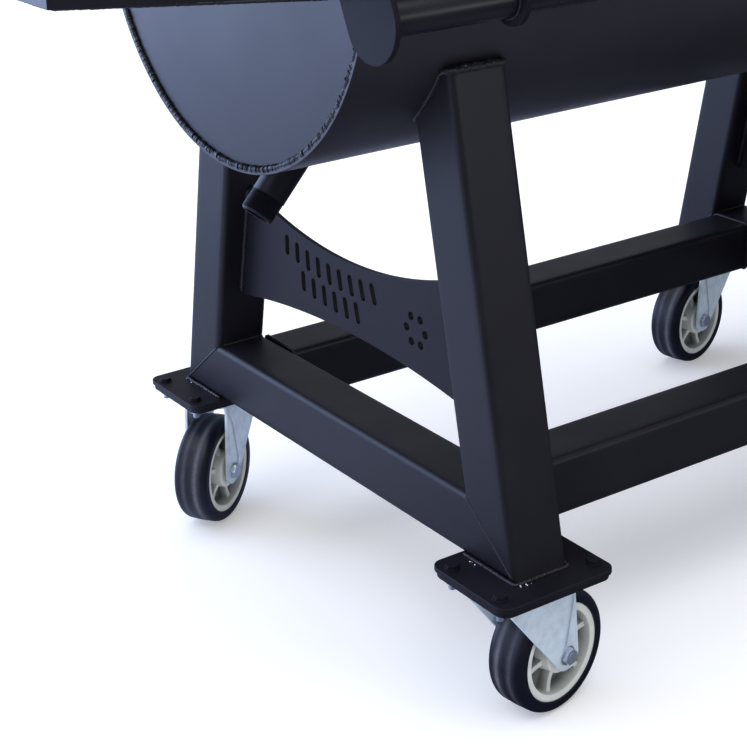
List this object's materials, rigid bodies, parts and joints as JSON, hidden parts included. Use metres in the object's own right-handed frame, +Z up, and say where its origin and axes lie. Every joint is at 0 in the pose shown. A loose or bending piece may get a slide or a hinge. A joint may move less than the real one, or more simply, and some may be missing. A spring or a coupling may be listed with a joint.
{
  "type": "offset smoker",
  "caption": "Round-chamber offset smoker on a welded A-frame with casters, tapered smoke collector, chimney, counterweighted lid and side firebox.",
  "frame": {"origin": "on the floor, under the middle of the smoker's overall box", "axes": "+X along the chamber from the smoke collector to the firebox, +Y to the rear, +Z up"},
  "size_m": [2.1336, 0.8084, 1.8288],
  "materials": {
    "black_paint": "satin black high-heat paint with a faint bluish sheen",
    "zinc_plate": "bright zinc plate, cool and slightly mottled",
    "wheel_core": "moulded grey-white polyolefin",
    "wheel_tread": "dark blue-black moulded tread, dusty in the middle",
    "bare_steel": "bare hot-rolled steel bars",
    "dial_steel": "polished stainless bezel"
  },
  "bodies": {
    "root": {"cook_chamber_shell": "black_paint", "chamber_end_plate_left": "black_paint", "chamber_end_plate_right": "black_paint", "smoke_collector": "black_paint", "chimney_pipe": "black_paint", "drain_nipple": "black_paint", "cooking_grate_left": "bare_steel", "cooking_grate_right": "bare_steel", "hinge_bearing_left": "black_paint", "hinge_bearing_right": "black_paint", "leg_front_left": "black_paint", "leg_front_right": "black_paint", "leg_rear_left": "black_paint", "leg_rear_right": "black_paint", "end_rail_left": "black_paint", "end_rail_right": "black_paint", "long_rail_front": "black_paint", "long_rail_rear": "black_paint", "gusset_plate_left": "black_paint", "gusset_plate_right": "black_paint", "firebox_body": "black_paint", "firebox_grate": "bare_steel", "door_hinge_lower": "black_paint", "door_hinge_upper": "black_paint", "base_plate_front_left": "black_paint", "caster_plate_front_left": "black_paint", "base_plate_front_right": "black_paint", "caster_plate_front_right": "black_paint", "base_plate_rear_left": "black_paint", "caster_plate_rear_left": "black_paint", "base_plate_rear_right": "black_paint", "caster_plate_rear_right": "black_paint"},
    "chimney_damper": {"chimney_damper": "black_paint"},
    "lid": {"lid_skin": "black_paint", "lid_arm_left": "black_paint", "lid_arm_right": "black_paint", "lid_handle_bar": "black_paint", "lid_torque_tube": "black_paint", "counterweight": "black_paint", "thermometer": "dial_steel"},
    "firebox_door": {"firebox_door": "black_paint"},
    "air_damper": {"air_damper": "black_paint"},
    "door_latch": {"door_latch": "black_paint"},
    "caster_front_left": {"caster_fork_front_left": "zinc_plate", "axle_bolt_front_left": "zinc_plate"},
    "wheel_front_left": {"wheel_core_front_left": "wheel_core", "wheel_tread_front_left": "wheel_tread"},
    "caster_front_right": {"caster_fork_front_right": "zinc_plate", "axle_bolt_front_right": "zinc_plate"},
    "wheel_front_right": {"wheel_core_front_right": "wheel_core", "wheel_tread_front_right": "wheel_tread"},
    "caster_rear_left": {"caster_fork_rear_left": "zinc_plate", "axle_bolt_rear_left": "zinc_plate"},
    "wheel_rear_left": {"wheel_core_rear_left": "wheel_core", "wheel_tread_rear_left": "wheel_tread"},
    "caster_rear_right": {"caster_fork_rear_right": "zinc_plate", "axle_bolt_rear_right": "zinc_plate"},
    "wheel_rear_right": {"wheel_core_rear_right": "wheel_core", "wheel_tread_rear_right": "wheel_tread"}
  },
  "joints": [
    {"name": "lid_hinge", "type": "hinge", "parent": "root", "child": "lid", "pos_m": [-0.18948, 0.15023, 1.17146], "axis": [-1, 0, 0], "range_deg": [0, 70]},
    {"name": "chimney_damper_pivot", "type": "hinge", "parent": "root", "child": "chimney_damper", "pos_m": [-0.98044, 0.09017, 1.80975], "axis": [0, 0, 1], "range_deg": [0, 150]},
    {"name": "firebox_door_hinge", "type": "hinge", "parent": "root", "child": "firebox_door", "pos_m": [0.98734, 0.26924, 0.6223], "axis": [0, 0, 1], "range_deg": [0, 120]},
    {"name": "air_damper_turn", "type": "hinge", "parent": "firebox_door", "child": "air_damper", "pos_m": [0.98159, 0, 0.5334], "axis": [1, 0, 0], "range_deg": [0, 60]},
    {"name": "door_latch_turn", "type": "hinge", "parent": "firebox_door", "child": "door_latch", "pos_m": [0.98159, -0.21844, 0.6223], "axis": [1, 0, 0], "range_deg": [0, 90]},
    {"name": "swivel_front_left", "type": "hinge", "parent": "root", "child": "caster_front_left", "pos_m": [-0.66421, -0.33693, 0.1778], "axis": [0, 0, 1], "continuous": true},
    {"name": "roll_front_left", "type": "hinge", "parent": "caster_front_left", "child": "wheel_front_left", "pos_m": [-0.62413, -0.33022, 0.0762], "axis": [-0.165, 0.9863, 0], "continuous": true},
    {"name": "swivel_front_right", "type": "hinge", "parent": "root", "child": "caster_front_right", "pos_m": [0.28524, -0.33693, 0.1778], "axis": [0, 0, 1], "continuous": true},
    {"name": "roll_front_right", "type": "hinge", "parent": "caster_front_right", "child": "wheel_front_right", "pos_m": [0.32343, -0.32303, 0.0762], "axis": [-0.342, 0.9397, 0], "continuous": true},
    {"name": "swivel_rear_left", "type": "hinge", "parent": "root", "child": "caster_rear_left", "pos_m": [-0.66421, 0.33693, 0.1778], "axis": [0, 0, 1], "continuous": true},
    {"name": "roll_rear_left", "type": "hinge", "parent": "caster_rear_left", "child": "wheel_rear_left", "pos_m": [-0.69829, 0.3148, 0.0762], "axis": [0.5446, -0.8387, 0], "continuous": true},
    {"name": "swivel_rear_right", "type": "hinge", "parent": "root", "child": "caster_rear_right", "pos_m": [0.28524, 0.33693, 0.1778], "axis": [0, 0, 1], "continuous": true},
    {"name": "roll_rear_right", "type": "hinge", "parent": "caster_rear_right", "child": "wheel_rear_right", "pos_m": [0.24549, 0.32848, 0.0762], "axis": [0.2079, -0.9781, 0], "continuous": true}
  ]
}
